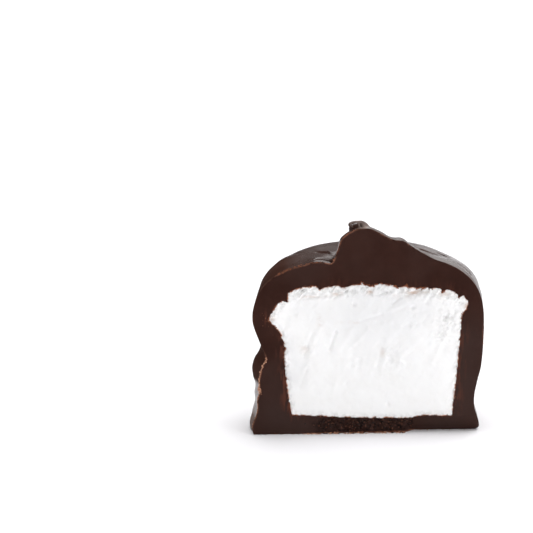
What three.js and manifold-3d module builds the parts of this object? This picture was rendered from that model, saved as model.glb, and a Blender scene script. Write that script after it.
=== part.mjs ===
// Half of a chocolate-covered marshmallow: a thick dark chocolate coating with a piped swirl on top, and
// the white marshmallow block inside it, which shows in the flat cut face.
// Millimetres. +Z is up, the cut face looks along -Y, and the origin is at the middle of the bounding
// box's underside.

import * as THREE from 'three';
import { mergeVertices } from 'three/addons/utils/BufferGeometryUtils.js';
import Module from 'manifold-3d';

// ---- Driving dimensions ----------------------------------------------------------------------------

const HALF_WIDTH = 16.25; // middle of the cut face to the widest point of a side wall
const DEPTH = 17.2; // cut face to the back
const CUT_SKEW = 0.12; // the sides run this far to the right per mm behind the cut, which isn't square

// Heights are counted from a level a little above the floor.
const FLOOR = -0.28; // height of the floor, on which the coating stands

// Coating walls as [height, share of HALF_WIDTH or DEPTH], from the foot over the waist to the shoulder.
const LEFT_WALL = [
  [0, 0.988], [0.5, 0.997], [1.2, 0.993], [2.4, 0.967], [3.6, 0.949], [4.8, 0.953], [6, 0.935], [7.2, 0.94],
  [8.4, 0.933], [9.6, 0.917], [10.7, 0.891], [11.8, 0.902], [13.8, 0.949], [15.6, 0.988], [17.2, 1.003],
  [19.2, 1.01], [21, 1.022], [23, 1.03],
];
const RIGHT_WALL = [
  [-0.28, 0.955], [0.05, 0.98], [0.5, 0.983], [1.5, 0.969], [3.2, 0.935], [5, 0.932], [7.2, 0.957],
  [9.3, 0.987], [13.4, 1.004], [17, 1.006], [21, 1.02],
];
const BACK_WALL = [
  [0, 0.97], [0.5, 1], [1.6, 0.99], [3.6, 0.955], [6.6, 0.935], [9.5, 0.965], [14, 0.995], [20, 1.005],
];
// The left waist fills out behind the cut: [height, added share] once well behind it.
const LEFT_FILL = [
  [-0.3, 0.055], [0.6, 0.042], [1.4, 0.04], [2.2, 0.054], [3.2, 0.06], [4.4, 0.056], [5.5, 0.06],
  [7.2, 0.084], [8.6, 0.1], [11, 0.08], [13, 0.03], [16, -0.02], [19, -0.01], [22, 0.02],
];
const LEFT_FILL_DEPTH = 3;
// Superellipse exponents of the outline seen from above: the left corner is the rounder one.
const LEFT_CORNER = 2.8;
const RIGHT_CORNER = 3.9;

const DOME_HEIGHT = 25.1; // top of the coating beside the swirl
const DOME_TILT = 0.012; // its rise to the right, mm per mm
const DOME_SAG = 0.0105; // its fall to the sides, per mm squared
const DOME_BACK_SAG = 0.004; // its fall to front and back, per mm squared from the crest
const DOME_CREST_Y = 6;
const SHOULDER_BLEND = 6.6; // how far the walls round over into the dome

// The swirl's heap in the cut plane as [x, height above the dome]: a steep left side with a groove, and a
// long right side.
const HEAP_PROFILE = [
  [-12, 0], [-9, 0.12], [-7.6, 0.24], [-6.4, 0.08], [-5.3, -0.26], [-4.8, 0.15], [-4.2, 1.85], [-3.9, 2.75],
  [-3.4, 3.35], [-2.5, 3.9], [-1.3, 4.25], [0.3, 4.15], [2.1, 3.3], [3.5, 2.7], [5, 2.55], [6.1, 1.95],
  [7.7, 1.15], [9.4, 0.55], [11.5, 0.3], [14, 0.1], [16, 0],
];
const HEAP_DEPTH = 7; // how far it reaches behind the cut
const HEAP_FALL = 1.5; // exponent of its fall from the cut to there

// The piped string that ends the swirl: a small loop on the heap, then a tail that lies on the dome.
const ROPE_RADIUS = 0.38;
const LOOP_CENTRE = new THREE.Vector2(-1.15, 1.75);
const LOOP_RADIUS = 1.25;
const LOOP_HEIGHT = 29.25;
const LOOP_SINK = 0.2; // how far its right side is above the middle, and its left side below
const LOOP_START = -0.75; // angles in half turns, counted from +X
const LOOP_END = 1;
const TAIL = [[-2.9, 4.2], [-2.2, 6.6], [-0.2, 8.5], [2.4, 9.3], [4.6, 8.5]]; // x and y of points along it
const TAIL_SINK = 0.12; // how far its centre line lies under the height of one radius
const STEM_RADIUS = 1.7; // the heap rises under the loop
const STEM_HEIGHT = 0.4;

// Marshmallow block, as [height, half width] for its sides and [x, height] for its top and underside.
const FILLING_LEFT = [
  [0, 10.4], [2.4, 10.55], [5.2, 11.1], [9.3, 11.55], [13.4, 12], [16.2, 13.6], [18, 14],
];
const FILLING_RIGHT = [
  [0, 11.8], [2.4, 12], [6, 12.4], [11.5, 12.8], [15, 13.1], [17.7, 13.8], [19, 14.1],
];
const FILLING_TOP = [
  [-14, 17], [-12.4, 18.9], [-11.2, 20.05], [-9.3, 20.8], [-7.3, 21.05], [-3, 21.1], [1.2, 21.35], [4, 21],
  [9, 20.6], [11.9, 20], [14.2, 18.8],
];
const FILLING_BASE = [
  [-10.6, 2.5], [-6.7, 2.3], [-1.3, 2], [6, 1.85], [6.6, 1.9], [7.2, 2.15], [12, 2.1],
];
const FILLING_DEPTH = 13.2;
const FILLING_CORNER = 3.6; // superellipse exponent of its outline seen from above
const FIT_GAP = 0.3; // clearance between coating and marshmallow
const CAVITY_REACH = 2; // how far the body that cuts the cavity stands out of the cut face

// Facets.
const SECTORS = 48;
const WALL_TOP = 15; // level rings up to here, and rays that fan out from the axis above it
const WALL_RINGS = 16;
const FOOT_CROWDING = 1.5; // exponent that sets the level rings closer together near the foot
const TOP_RINGS = 30;
const RAY_LENGTH = 40;
const HALVINGS = 40; // steps of the search along each ray
const EDGE_STEPS = 8; // steps of the search for the height of the marshmallow's edges
const FILLING_SECTORS = 32;
const FILLING_BASE_RINGS = 5;
const FILLING_WALL_RINGS = 8;
const FILLING_TOP_RINGS = 10;
const ROPE_SIDES = 8;
const ROPE_STEPS = 36;
const LOOP_STEPS = 10;

// ---- Small helpers ---------------------------------------------------------------------------------

// Smooth curve through control points [at, value], with the end values held outside them.
function through(points, at) {
  const last = points.length - 1;
  if (at <= points[0][0]) return points[0][1];
  if (at >= points[last][0]) return points[last][1];
  const i = points.findIndex(([x]) => x > at) - 1;
  const slope = (k) => {
    const [a, b] = [points[Math.max(k - 1, 0)], points[Math.min(k + 1, last)]];
    return (b[1] - a[1]) / (b[0] - a[0]);
  };
  const [[x0, v0], [x1, v1]] = [points[i], points[i + 1]];
  const span = x1 - x0;
  const t = (at - x0) / span;
  const [t2, t3] = [t * t, t * t * t];
  return (
    v0 * (2 * t3 - 3 * t2 + 1) + slope(i) * span * (t3 - 2 * t2 + t) +
    v1 * (3 * t2 - 2 * t3) + slope(i + 1) * span * (t3 - t2)
  );
}

// Maximum with a fillet: two surfaces meet in a round edge about blend wide.
function roundMax(a, b, blend) {
  const overlap = Math.max(blend - Math.abs(a - b), 0) / blend;
  return Math.max(a, b) + overlap * overlap * blend / 4;
}

// A bell of height 1 and the given radius.
function bell(distance, radius) {
  return Math.exp(-((distance / radius) ** 2));
}

// ---- Coating ---------------------------------------------------------------------------------------

// Radius of a half superellipse along the direction phi, counted from +X round the back to -X.
function outlineRadius(phi, halfWidth, depth, corner) {
  const size = (Math.abs(Math.cos(phi)) / halfWidth) ** corner + (Math.sin(phi) / depth) ** corner;
  return size ** (-1 / corner);
}

function domeHeight(x, y) {
  return DOME_HEIGHT + DOME_TILT * x - DOME_SAG * x * x - DOME_BACK_SAG * (y - DOME_CREST_Y) ** 2;
}

function heapHeight(x, y) {
  const share = 1 - (Math.max(y, 0) / HEAP_DEPTH) ** HEAP_FALL;
  if (share <= 0) return 0;
  return through(HEAP_PROFILE, x / Math.sqrt(share)) * share;
}

function stemHeight(x, y) {
  return STEM_HEIGHT * bell(Math.hypot(x - LOOP_CENTRE.x, y - LOOP_CENTRE.y), STEM_RADIUS);
}

function topHeight(x, y) {
  return domeHeight(x, y) + heapHeight(x, y) + stemHeight(x, y);
}

function leftWall(y, z) {
  return through(LEFT_WALL, z) + through(LEFT_FILL, z) * (1 - bell(y, LEFT_FILL_DEPTH));
}

// Negative inside the coating's outer surface, zero on it.
function coating({ x, y, z }) {
  const across = x - CUT_SKEW * y;
  const share = across < 0 ? leftWall(y, z) : through(RIGHT_WALL, z);
  const corner = across < 0 ? LEFT_CORNER : RIGHT_CORNER;
  const phi = Math.atan2(y, across);
  const radius = outlineRadius(phi, share * HALF_WIDTH, through(BACK_WALL, z) * DEPTH, corner);
  return roundMax(Math.hypot(across, y) - radius, z - topHeight(x, y), SHOULDER_BLEND);
}

// The point where a ray leaves the coating, found by halving.
function coatingPoint(start, direction) {
  const at = (distance) => start.clone().addScaledVector(direction, distance);
  let [near, far] = [0, RAY_LENGTH];
  for (let i = 0; i < HALVINGS; i++) {
    const middle = (near + far) / 2;
    if (coating(at(middle)) < 0) {
      near = middle;
    } else {
      far = middle;
    }
  }
  return at(near);
}

function coatingRings() {
  const rings = [];
  for (let i = 0; i <= WALL_RINGS + TOP_RINGS; i++) {
    const height = FLOOR + (WALL_TOP - FLOOR) * Math.min(i / WALL_RINGS, 1) ** FOOT_CROWDING;
    const lift = (Math.max(i - WALL_RINGS, 0) / TOP_RINGS) * (Math.PI / 2);
    rings.push(halfTurn(SECTORS, (phi) => coatingPoint(
      new THREE.Vector3(0, 0, height),
      new THREE.Vector3(Math.cos(lift) * Math.cos(phi), Math.cos(lift) * Math.sin(phi), Math.sin(lift)),
    )));
  }
  const underside = rings[0].map(() => new THREE.Vector3(0, 0, FLOOR));
  return [underside, ...rings];
}

// ---- Marshmallow -----------------------------------------------------------------------------------

// Rings of the marshmallow grown by a margin: over its underside, up its walls, and in over its top. reach
// makes it deeper than it is, so that it can stand out of the cut face.
function fillingRings(grow, reach) {
  const floor = (across) => through(FILLING_BASE, across) - grow;
  const roof = (across) => through(FILLING_TOP, across) + grow;
  const radius = (phi, z) => {
    const halfWidth = through(Math.cos(phi) < 0 ? FILLING_LEFT : FILLING_RIGHT, z) + grow;
    return outlineRadius(phi, halfWidth, FILLING_DEPTH + grow + reach, FILLING_CORNER);
  };
  // Height where the wall along phi meets the floor or the roof.
  const edge = (phi, level) => {
    let z = level(0);
    for (let i = 0; i < EDGE_STEPS; i++) {
      z = level(radius(phi, z) * Math.cos(phi));
    }
    return z;
  };
  const place = (phi, r, z) => {
    const y = r * Math.sin(phi);
    return new THREE.Vector3(r * Math.cos(phi) + CUT_SKEW * y, y, z);
  };
  const cap = (level, share) => halfTurn(FILLING_SECTORS, (phi) => {
    const r = radius(phi, edge(phi, level)) * share;
    return place(phi, r, level(r * Math.cos(phi)));
  });
  const wall = (share) => halfTurn(FILLING_SECTORS, (phi) => {
    const z = edge(phi, floor) * (1 - share) + edge(phi, roof) * share;
    return place(phi, radius(phi, z), z);
  });
  const rings = [];
  for (let i = 0; i < FILLING_BASE_RINGS; i++) {
    rings.push(cap(floor, i / FILLING_BASE_RINGS));
  }
  for (let i = 0; i <= FILLING_WALL_RINGS; i++) {
    rings.push(wall(i / FILLING_WALL_RINGS));
  }
  for (let i = FILLING_TOP_RINGS - 1; i >= 0; i--) {
    rings.push(cap(roof, i / FILLING_TOP_RINGS));
  }
  return rings;
}

// ---- Meshes ----------------------------------------------------------------------------------------

// Points over the half turn from +X round the back to -X, the first and last exactly in the cut plane.
function halfTurn(sectors, pointAt) {
  return Array.from({ length: sectors + 1 }, (_, i) => {
    const point = pointAt((i / sectors) * Math.PI);
    return i === 0 || i === sectors ? point.setY(0) : point;
  });
}

function indexed(positions, faces) {
  const geometry = new THREE.BufferGeometry();
  geometry.setAttribute('position', new THREE.Float32BufferAttribute(positions, 3));
  geometry.setIndex(faces);
  return geometry;
}

// Closed half body through rings of points, from the underside's middle to the top's, with a flat face in
// the cut plane. The first and last rings are single points.
function halfBody(rings) {
  const columns = rings[0].length;
  const positions = rings.flatMap((ring) => ring.flatMap((point) => point.toArray()));
  const faces = [];
  for (let ring = 0; ring < rings.length - 1; ring++) {
    for (let column = 0; column < columns - 1; column++) {
      const a = ring * columns + column;
      const [b, c, d] = [a + 1, a + columns, a + columns + 1];
      if (ring > 0) faces.push(a, b, c);
      if (ring < rings.length - 2) faces.push(b, d, c);
    }
  }
  const rightEdge = rings.map((ring, i) => i * columns);
  const leftEdge = rings.map((ring, i) => i * columns + columns - 1);
  const loop = [...rightEdge, ...leftEdge.slice(1, -1).reverse()];
  const flat = loop.map((i) => new THREE.Vector2(positions[3 * i], positions[3 * i + 2]));
  for (const [a, b, c] of THREE.ShapeUtils.triangulateShape(flat, [])) {
    faces.push(loop[a], loop[b], loop[c]);
  }
  return indexed(positions, faces);
}

function loopCurve() {
  const points = [];
  for (let i = 0; i <= LOOP_STEPS; i++) {
    const angle = Math.PI * (LOOP_START + (LOOP_END - LOOP_START) * (i / LOOP_STEPS));
    const x = LOOP_CENTRE.x + LOOP_RADIUS * Math.cos(angle);
    const y = LOOP_CENTRE.y + LOOP_RADIUS * Math.sin(angle);
    points.push(new THREE.Vector3(x, y, LOOP_HEIGHT + LOOP_SINK * Math.cos(angle)));
  }
  return new THREE.CatmullRomCurve3(points);
}

function tailCurve() {
  const rise = ROPE_RADIUS - TAIL_SINK;
  return new THREE.CatmullRomCurve3(TAIL.map(([x, y]) => new THREE.Vector3(x, y, topHeight(x, y) + rise)));
}

// Round bar along a curve, with its ends drawn in to blunt tips.
function tube(curve, radius, steps) {
  const frames = curve.computeFrenetFrames(steps, false);
  const positions = [];
  for (let i = 0; i <= steps; i++) {
    const centre = curve.getPointAt(i / steps);
    const r = i === 0 || i === steps ? radius / 2 : radius;
    for (let side = 0; side < ROPE_SIDES; side++) {
      const turn = (side / ROPE_SIDES) * 2 * Math.PI;
      const offset = frames.normals[i].clone().multiplyScalar(r * Math.cos(turn));
      offset.addScaledVector(frames.binormals[i], r * Math.sin(turn));
      positions.push(...centre.clone().add(offset).toArray());
    }
  }
  const firstTip = positions.length / 3;
  positions.push(...curve.getPointAt(0).toArray(), ...curve.getPointAt(1).toArray());
  const faces = [];
  const lastRow = steps * ROPE_SIDES;
  for (let side = 0; side < ROPE_SIDES; side++) {
    const next = (side + 1) % ROPE_SIDES;
    faces.push(firstTip, next, side, firstTip + 1, lastRow + side, lastRow + next);
    for (let i = 0; i < steps; i++) {
      const [a, b] = [i * ROPE_SIDES + side, i * ROPE_SIDES + next];
      faces.push(a, b, a + ROPE_SIDES, b, b + ROPE_SIDES, a + ROPE_SIDES);
    }
  }
  return indexed(positions, faces);
}

const wasm = await Module();
wasm.setup();

function toSolid(geometry) {
  const bare = geometry.clone();
  bare.deleteAttribute('normal');
  bare.deleteAttribute('uv');
  const merged = mergeVertices(bare, 1e-4);
  return new wasm.Manifold(new wasm.Mesh({
    numProp: 3,
    vertProperties: merged.attributes.position.array,
    triVerts: new Uint32Array(merged.index.array),
  }));
}

function toGeometry(solid) {
  const mesh = solid.getMesh();
  const geometry = new THREE.BufferGeometry();
  geometry.setAttribute('position', new THREE.BufferAttribute(mesh.vertProperties, mesh.numProp));
  geometry.setIndex(new THREE.BufferAttribute(mesh.triVerts, 1));
  geometry.computeVertexNormals();
  return geometry;
}

const chocolate = new THREE.MeshStandardMaterial({ color: 0x3a2521, roughness: 0.3, metalness: 0 });
const marshmallow = new THREE.MeshStandardMaterial({ color: 0xf3f2f1, roughness: 0.95, metalness: 0 });

function named(name, geometry, material) {
  const mesh = new THREE.Mesh(geometry, material);
  mesh.name = name;
  return mesh;
}

function makeCoating() {
  const body = toSolid(halfBody(coatingRings()));
  const loop = toSolid(tube(loopCurve(), ROPE_RADIUS, ROPE_STEPS));
  const tail = toSolid(tube(tailCurve(), ROPE_RADIUS, ROPE_STEPS));
  const block = halfBody(fillingRings(FIT_GAP, CAVITY_REACH));
  const cavity = toSolid(block.translate(-CUT_SKEW * CAVITY_REACH, -CAVITY_REACH, 0));
  return named('chocolate_coating', toGeometry(body.add(loop).add(tail).subtract(cavity)), chocolate);
}

function makeFilling() {
  return named('marshmallow', toGeometry(toSolid(halfBody(fillingRings(0, 0)))), marshmallow);
}

const group = new THREE.Group();
group.add(makeCoating(), makeFilling());
const middle = new THREE.Box3().setFromObject(group).getCenter(new THREE.Vector3());
group.position.set(-middle.x, -middle.y, -FLOOR);

export default group;
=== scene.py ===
"""Looks for half of a chocolate-covered marshmallow.

The coating and the marshmallow are meshes made here from named sizes in millimetres, in the cut's own frame:
x to the right from the middle of the cut face, y behind the cut, z up. place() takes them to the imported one.
"""

import functools
import itertools
import math

import bmesh
import bpy
import numpy as np
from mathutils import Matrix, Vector
from mathutils.geometry import delaunay_2d_cdt


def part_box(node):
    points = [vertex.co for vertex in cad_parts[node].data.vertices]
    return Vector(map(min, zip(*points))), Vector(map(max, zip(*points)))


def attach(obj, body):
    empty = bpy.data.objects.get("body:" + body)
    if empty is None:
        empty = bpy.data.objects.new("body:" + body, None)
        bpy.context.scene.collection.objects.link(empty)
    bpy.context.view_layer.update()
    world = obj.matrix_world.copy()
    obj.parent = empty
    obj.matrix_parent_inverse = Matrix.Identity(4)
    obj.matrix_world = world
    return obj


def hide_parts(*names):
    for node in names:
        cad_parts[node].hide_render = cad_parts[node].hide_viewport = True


MM = 0.001

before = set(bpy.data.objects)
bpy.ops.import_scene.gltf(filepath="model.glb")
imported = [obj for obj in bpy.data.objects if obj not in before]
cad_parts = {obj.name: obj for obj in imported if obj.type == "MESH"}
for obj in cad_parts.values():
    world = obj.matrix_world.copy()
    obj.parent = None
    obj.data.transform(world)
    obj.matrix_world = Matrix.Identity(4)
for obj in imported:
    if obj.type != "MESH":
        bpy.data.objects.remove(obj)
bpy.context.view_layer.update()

# ---- Coating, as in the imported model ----

FACE_MIDDLE = -0.422  # x of the cut face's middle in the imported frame
FLOOR = -0.28  # height of the underside in the cut's frame
HALF_WIDTH = 16.25
DEPTH = 17.2
CUT_SKEW = 0.12

# Walls as [height, share of HALF_WIDTH or DEPTH].
LEFT_WALL = [
    (0, 0.988), (0.5, 0.997), (1.2, 0.993), (2.4, 0.967), (3.6, 0.949), (4.8, 0.953), (6, 0.935),
    (7.2, 0.94), (8.4, 0.933), (9.6, 0.917), (10.7, 0.891), (11.8, 0.902), (13.8, 0.949), (15.6, 0.988),
    (17.2, 1.003), (19.2, 1.01), (21, 1.022), (23, 1.03),
]
RIGHT_WALL = [
    (-0.28, 0.955), (0.05, 0.98), (0.5, 0.983), (1.5, 0.969), (3.2, 0.935), (5, 0.932), (7.2, 0.957),
    (9.3, 0.987), (13.4, 1.004), (17, 1.006), (21, 1.02),
]
BACK_WALL = [
    (0, 0.97), (0.5, 1), (1.6, 0.99), (3.6, 0.955), (6.6, 0.935), (9.5, 0.965), (14, 0.995), (20, 1.005),
]
LEFT_FILL = [
    (-0.3, 0.055), (0.6, 0.042), (1.4, 0.04), (2.2, 0.054), (3.2, 0.06), (4.4, 0.056), (5.5, 0.06),
    (7.2, 0.084), (8.6, 0.1), (11, 0.08), (13, 0.03), (16, -0.02), (19, -0.01), (22, 0.02),
]
LEFT_FILL_DEPTH = 3
LEFT_CORNER = 2.8
RIGHT_CORNER = 3.9

DOME_HEIGHT = 25.1
DOME_TILT = 0.012
DOME_SAG = 0.0105
DOME_BACK_SAG = 0.004
DOME_CREST_Y = 6
SHOULDER_BLEND = 6.6

HEAP_PROFILE = [
    (-12, 0), (-9, 0.12), (-7.6, 0.24), (-6.4, 0.08), (-5.3, -0.26), (-4.8, 0.15), (-4.2, 1.85),
    (-3.9, 2.75), (-3.4, 3.35), (-2.5, 3.9), (-1.3, 4.25), (0.3, 4.15), (2.1, 3.3), (3.5, 2.7), (5, 2.55),
    (6.1, 1.95), (7.7, 1.15), (9.4, 0.55), (11.5, 0.3), (14, 0.1), (16, 0),
]
HEAP_DEPTH = 7
HEAP_FALL = 1.5
HEAP_FLAT = 0.5  # the heap keeps its height this far behind the cut

# ---- Detail on the coating ----

# The fold round the waist, along the wall from the cut's right edge (0) round the back to its left edge (1).
CREASE_HEIGHT = [(0, 5), (0.25, 5.8), (0.5, 7.2), (0.75, 10), (0.9, 12), (0.96, 11.5), (1, 10.65)]
CREASE_DEPTH = [(0, 0), (0.08, 0.12), (0.3, 0.3), (0.5, 0.38), (0.8, 0.45), (0.93, 0.42), (1, 0.3)]
CREASE_ABOVE = 0.55
CREASE_BELOW = 1.1
# Runs of chocolate down the walls: [place along the wall, half width on the same scale, height, lower end].
RUNS = [
    (0.1, 0.03, 0.12, 3), (0.22, 0.022, 0.2, 7), (0.31, 0.035, 0.16, 4), (0.43, 0.02, 0.22, 9),
    (0.52, 0.03, 0.18, 5), (0.64, 0.024, 0.2, 8), (0.72, 0.03, 0.24, 3), (0.81, 0.02, 0.2, 6),
    (0.9, 0.028, 0.14, 4),
]
RUN_TOP = 17
RIPPLE = 0.1
RIPPLE_SIZE = 3.4
FOOT_WAVE = 0.22
FOOT_HEIGHT = 1.8
HOLLOW = 0.45  # the right wall draws in by this just behind the cut
HOLLOW_HEIGHT = 3
SINK_MARKS = 0.035  # fine unevenness of the glossy surface
SINK_SIZE = 1.3

# Low ridges and creases on the dome: ends, height and half width.
RIDGES = [
    ((-4.95, 4.1), (-6.8, 7.3), 0.24, 0.24),
    ((-4.95, 3.4), (-6.8, 6.2), -0.2, 0.18),
    ((-5, 1.75), (-7.3, 2.1), 0.18, 0.2),
    ((-4.95, 1.15), (-7.2, 1.35), -0.5, 0.18),
    ((-5.05, 0.5), (-7.4, 0.7), 0.14, 0.2),
    ((-4.95, 0.5), (-5.2, 1.2), -0.4, 0.3),
    ((10.35, 5.8), (8.1, 6.95), -0.55, 0.3),
    ((10.4, 5.15), (8.1, 6.3), 0.1, 0.3),
    ((11.1, 9.4), (11.8, 7.2), -0.7, 0.34),
    ((8, 0.6), (12, 3.6), 0.1, 0.5),
]
RIDGE_FADE = 0.7  # share of its height that a ridge loses towards its second end
# Dull skin in the deeper creases: ends and half width.
DULL_CREASES = [
    ((-5, 1.15), (-7.2, 1.35), 0.22), ((-4.95, 0.5), (-5.2, 1.2), 0.36), ((10.3, 6.2), (8.2, 7.25), 0.34),
    ((11.1, 9.4), (11.8, 7.2), 0.41),
]
# Swellings and hollows of the dome behind the heap: [x, y, radius, height].
DOME_SWELLS = [(7.6, 9.5, 4.2, 0.28), (12, 10, 4, -0.7)]

# Piped strings as x, y, z and radius of points along them.
LOOP = [
    (-2.1, 0.95, 29.16, 0.12), (-2.3, 1, 29.3, 0.2), (-2.52, 1.05, 29.52, 0.24), (-2.42, 1.1, 29.76, 0.2),
    (-1.95, 1.15, 29.9, 0.19), (-1.3, 1.2, 29.94, 0.19), (-0.8, 1.2, 29.82, 0.28), (-0.45, 1.2, 29.5, 0.4),
    (-0.15, 1.2, 29.1, 0.44), (0.1, 1.2, 28.7, 0.42),
]
STEM = [
    (-1.15, 0.9, 28.6, 0.3), (-1.15, 0.95, 28.95, 0.2), (-1.2, 1, 29.35, 0.13), (-1.3, 1.1, 29.75, 0.13),
]
WEB = [
    (-2.1, 2.2, 28.4, 0.45), (-2.1, 2.2, 28.85, 0.45), (-1.6, 2.15, 29, 0.5), (-0.8, 2.1, 29, 0.52),
    (-0.2, 2, 28.6, 0.45),
]
PLEAT = [
    (-4.05, 0.7, 26.7, 0.1), (-3.85, 0.7, 27.3, 0.16), (-3.5, 0.75, 27.8, 0.19), (-2.7, 0.8, 28.3, 0.17),
]
# The heap's top swells a little behind the cut: [x, y, radius, height].
HEAP_SWELLS = [
    (0.3, 1.1, 0.9, 0.2), (1.9, 1.2, 0.95, 0.24), (3.4, 1, 0.7, 0.1), (4.7, 1.3, 0.9, 0.26),
    (6, 1.5, 0.8, 0.1),
]
TAIL = [(-2.9, 4.2), (-2.2, 6.6), (-0.2, 8.5), (2.4, 9.3), (4.6, 8.5)]
TAIL_RADIUS = 0.4
TAIL_SINK = 0.14
CURL_RADIUS = 0.62  # the tail ends in a curl
CURL_SHIFT = 0.1
CURL_TURN = 1.7 * math.pi
CURL_STEPS = 8
CURL_THICKNESS = 0.3  # radius of its string
CURL_RISE = 0.06  # for each radian
STRING_STEPS = 9
STRING_BLEND = 0.22

# The lower edge of the cut face is set back at the right: from x to x, how far, up to what height, and how
# deep behind the cut.
SET_BACK_START = (5.2, 6.9)
SET_BACK = 1.25
SET_BACK_TOP = 2.3
SET_BACK_REACH = 6
ROUGH_STRIP = (-8.6, 6.6)
ROUGH_TOP = 2

# Chipped, dusty parts of the rim and smears beside the marshmallow: [x, z, radius, strength].
RIM_DUST = [
    (-14.7, 8.8, 2.2, 1), (-15.2, 5.4, 1.4, 1), (-15.9, 2, 1.6, 0.4), (-11.6, 23.1, 1.8, 0.6),
    (-8.3, 24, 2, 0.5), (-5.2, 24.1, 1.1, 0.7), (-4.4, 26.2, 1.6, 0.5), (-2.8, 28.4, 1.4, 0.8),
    (6.2, 27, 0.9, 0.7), (16, 14, 1.4, 0.5), (-14.4, 16, 2, 0.3), (-6, 0, 3, 0.9), (0, 0, 3, 0.9),
    (5, 0, 3, 0.9), (2.4, 27.9, 1.2, 0.5),
]
# Skin painted light and dull, as a painted highlight along the loop's band and a painted reflection on the
# left foot, and skin that is less glossy, as [x, z, radius, strength].
LOOP_PAINTED_HIGHLIGHT = [(-1.4, 29.95, 0.6, 0.8), (-0.5, 29.3, 0.6, 1), (-2.4, 29.9, 0.25, 0.6)]
FOOT_PAINTED_REFLECTION = [(-16.4, 1.2, 2, 0.75)]
LOOP_HIGHLIGHT_END = (1.4, 1.8)  # the painted highlight ends between these distances behind the cut
FOOT_REFLECTION_END = (3, 8)
MATTE_SKIN = [
    (-15, 19.5, 3.6, 0.8), (-12.2, 23, 3.8, 0.85), (-15.5, 9.4, 2.8, 1.6), (-16.4, 1.2, 2.1, 1),
    (16, 4, 3, 0.8), (14, 23, 4, 0.4), (-1.4, 29, 0.9, 0.9),
]
# Parts of the cut face painted a lighter, greyer brown, as [x, z, radius, strength]: partly the chocolate's
# own tone, partly painted light where the face gets little light, as on the set-back lower right that faces
# down.
CUT_GREY_TONE_AND_PAINTED_LIGHT = [
    (-13.2, 2.5, 3.6, 0.9), (-8.5, 0.7, 3.4, 0.8), (-13, 8, 3, 0.5), (14, 13, 3.6, 0.9),
    (14.2, 6, 3.6, 0.9), (11, 0.5, 3.6, 1),
]
SMEARS = [
    (-11.4, 3.6, 2, 1), (-11.8, 7.5, 2.2, 0.9), (-12.2, 12.4, 1.5, 0.8), (-14, 16.6, 1.2, 0.7),
    (12.7, 4.4, 2.2, 1), (13.2, 9, 2, 0.8), (13.7, 13.5, 1.6, 0.7), (6.4, 20.8, 2, 0.25),
    (11, 20.2, 2, 0.35), (-5, 21.3, 2.4, 0.25),
]

# Grid for the coating's skin: [from, to, step] along each axis, finer round the loop and near the cut.
GRID_X = [(-17.8, -7.4, 0.26), (-7.4, 1.6, 0.115), (1.6, 7.4, 0.26), (7.4, 12.6, 0.15), (12.6, 17.9, 0.26)]
GRID_Y = [(-0.46, 3.2, 0.115), (3.2, 9.8, 0.18), (9.8, 18.2, 0.26)]
GRID_Z = [(-0.65, 26.65, 0.26), (26.65, 30.9, 0.115)]
# Its points settle on the surface: how many steps, the longest, and the reach for the surface's slope.
SKIN_STEPS = 4
LONGEST_MOVE = 0.08
SLOPE_REACH = 0.02
LEAST_SLOPE = 0.2  # squared
NEAR_SURFACE = 1.3  # the coating's detail counts in the grid within this distance

# ---- Marshmallow ----

FILLING_LEFT = [
    (0, 10.4), (2.4, 10.55), (5.2, 11.1), (9.3, 11.55), (13.4, 11.9), (14.5, 12.4), (15.4, 13),
    (16.2, 13.75), (18, 14),
]
FILLING_RIGHT = [
    (0, 11.8), (2.4, 12), (6, 12.4), (11.5, 12.8), (15, 13.1), (16.6, 13.3), (17.9, 14), (19, 14.1),
]
FILLING_TOP = [
    (-14, 16.5), (-12.95, 18.15), (-12.3, 19.1), (-11.2, 20.1), (-9.3, 20.9), (-7.3, 21.1), (-3, 21.1),
    (1.2, 21.35), (4, 21), (9, 20.6), (11.9, 20.1), (12.6, 19.6), (13.3, 19.35), (14.2, 18.5),
]
FILLING_BASE = [(-10.6, 2.5), (-6.7, 2.3), (-1.3, 2), (6, 1.85), (6.6, 1.9), (7.2, 2.15), (12, 2.1)]
FILLING_HALF_WIDTH = 12
FILLING_DEPTH = 13.2
FILLING_CORNER = 3.6
# Sharp drops in its top edge: x, depth, and the width in which the edge recovers, less than 0 to the left.
TOP_STEPS = [
    (-11.2, 1.1, -1.5), (-7.1, 0.55, 1.9), (-3.9, 0.25, 1.3), (0.9, 0.5, -1.7), (3.95, 0.3, 1),
    (6.75, 0.25, 0.6), (10.3, 0.5, 0.6), (12.6, 0.55, 0.6),
]
# Tears in its edge: [x, z, radius, how far the edge stands out], less than 0 where chocolate reaches in.
TEARS = [
    (-13.8, 16.3, 0.3, 0.15), (-11.3, 18.9, 0.25, -0.3), (-0.95, 21.5, 0.14, 0.3), (5.4, 20.85, 0.3, 0.12),
    (6.8, 20.7, 0.2, -0.2), (10.5, 20.1, 0.2, -0.2), (13.45, 19.5, 0.2, 0.2), (13.25, 16.9, 0.4, -0.12),
    (12.75, 12.6, 0.3, 0.2), (12.8, 10.4, 0.3, 0.12), (-11.65, 12.15, 0.3, -0.2), (-11.75, 10.9, 0.3, 0.16),
    (-12.3, 14.9, 0.3, -0.12), (-8.1, 2.3, 0.3, -0.12), (-6.4, 2.3, 0.25, -0.15), (1, 2.05, 0.3, -0.12),
    (2.7, 2.05, 0.25, -0.12),
]
FRAY_SIZE = 0.6
FRAY_TOP = 0.06
FRAY_SIDE = 0.045
FRAY_FALL = 0.8  # strength of each finer size of tear
FILLING_MIDDLE = (0.5, 11.5)
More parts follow.
